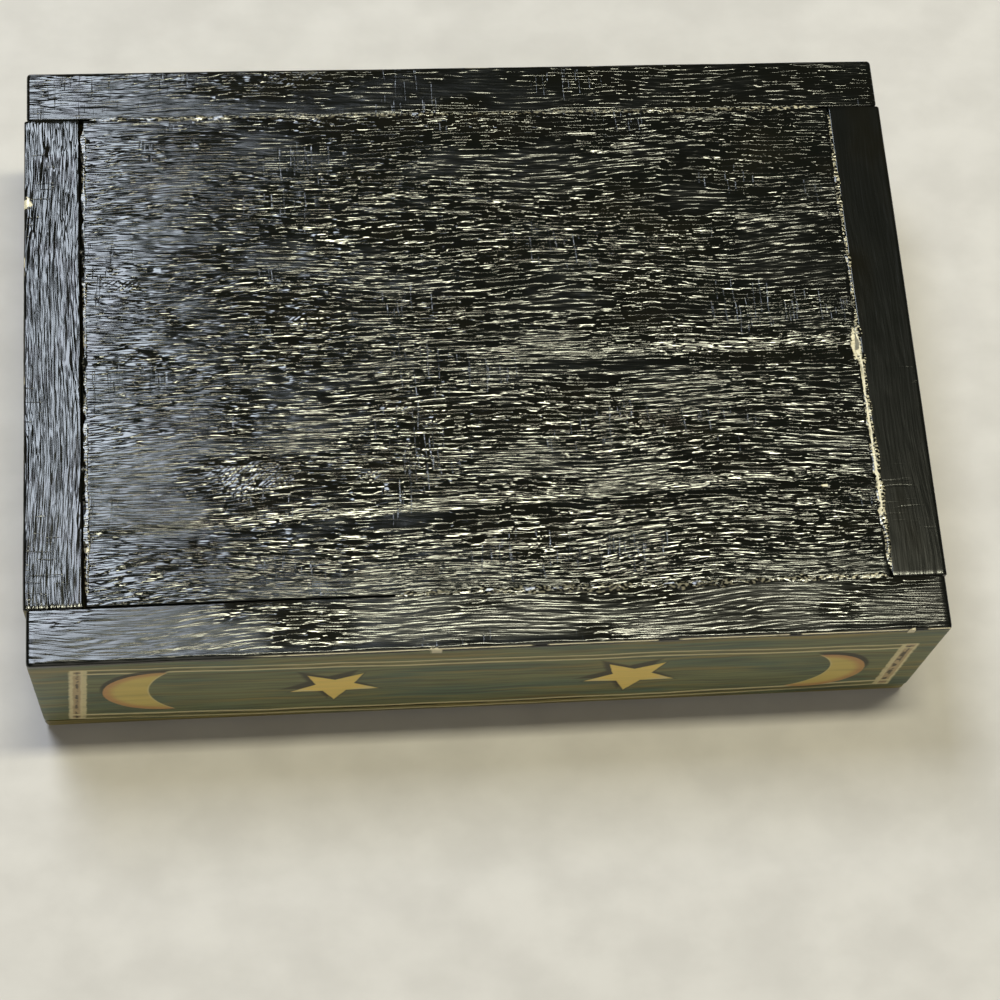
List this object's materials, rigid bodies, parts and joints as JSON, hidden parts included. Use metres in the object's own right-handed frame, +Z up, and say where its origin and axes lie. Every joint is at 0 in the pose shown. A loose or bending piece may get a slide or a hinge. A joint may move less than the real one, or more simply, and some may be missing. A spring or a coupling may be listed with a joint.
{
  "type": "hinged wooden box",
  "caption": "Shallow hinged wooden box standing on its closed lid, base up, with a painted star and crescent border on its walls.",
  "frame": {"origin": "centre of the lid's outer face, on which the closed box stands turned over, as in the picture", "axes": "+Z up from the lid's outer face to the base, +X along the box to the right, +Y from the front to the hinged back; in upright use the same box is turned half a turn about X"},
  "size_m": [0.2042, 0.146, 0.047],
  "materials": {
    "painted_wall_wood": "dark green brushed paint with cream lines and ochre stars, black rim",
    "black_painted_wood": "satin black paint brushed over open grain",
    "painted_lid_wood": "dark green brushed paint with cream lines, bare wood inside",
    "brass": "satin brass",
    "nail_steel": "plain"
  },
  "bodies": {
    "lid": {"lid_board": "painted_lid_wood", "left_hinge_lid_leaf": "brass", "left_hinge_pin": "brass", "left_hinge_lid_screws": "brass", "right_hinge_lid_leaf": "brass", "right_hinge_pin": "brass", "right_hinge_lid_screws": "brass"},
    "box": {"front_wall": "painted_wall_wood", "back_wall": "painted_wall_wood", "left_end_wall": "painted_wall_wood", "right_end_wall": "painted_wall_wood", "bottom_panel": "black_painted_wood", "left_hinge_box_leaf": "brass", "left_hinge_box_screws": "brass", "right_hinge_box_leaf": "brass", "right_hinge_box_screws": "brass", "front_corner_nails": "nail_steel", "back_corner_nails": "nail_steel", "front_panel_nails": "nail_steel", "back_panel_nails": "nail_steel", "left_panel_nails": "nail_steel", "right_panel_nails": "nail_steel"}
  },
  "joints": [
    {"name": "lid_hinge", "type": "hinge", "parent": "lid", "child": "box", "pos_m": [0, 0.071, 0.00515], "axis": [-1, 0, 0], "range_deg": [0, 92]}
  ]
}
